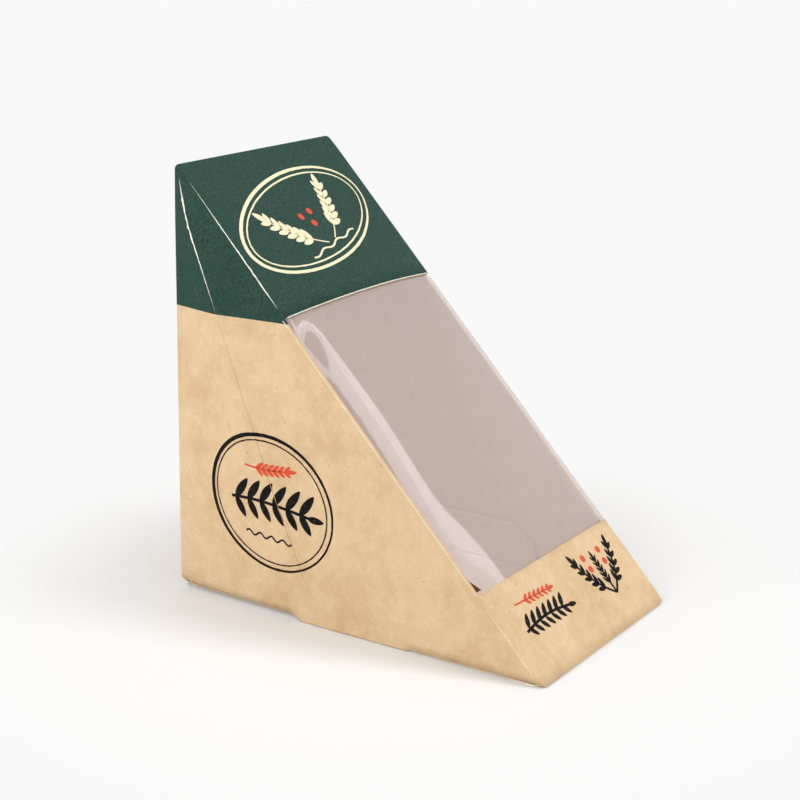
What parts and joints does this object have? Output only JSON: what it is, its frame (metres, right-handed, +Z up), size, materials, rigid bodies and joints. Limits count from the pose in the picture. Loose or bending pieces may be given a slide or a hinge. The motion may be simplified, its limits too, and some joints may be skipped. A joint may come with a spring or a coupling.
{
  "type": "sandwich box",
  "caption": "Wedge-shaped takeaway sandwich box of folded kraft board, with a clear film window in its sloping front and a base panel that folds shut and tucks in behind.",
  "frame": {"origin": "middle of the box's footprint, on the surface that it stands on", "axes": "+Z up towards the apex fold, +X across the width, the sloping front with the window faces -Y and the upright back panel faces +Y"},
  "size_m": [0.078, 0.1218, 0.1241],
  "materials": {
    "kraft_board": "matte",
    "clear_film": "gloss"
  },
  "bodies": {
    "carton": {"carton_body": "kraft_board", "window_film": "clear_film"},
    "base": {"base_flap": "kraft_board"}
  },
  "joints": [
    {"name": "base_fold", "type": "hinge", "parent": "carton", "child": "base", "pos_m": [0, -0.06047, 0.00022], "axis": [-1, 0, 0], "range_deg": [0, 134]}
  ]
}
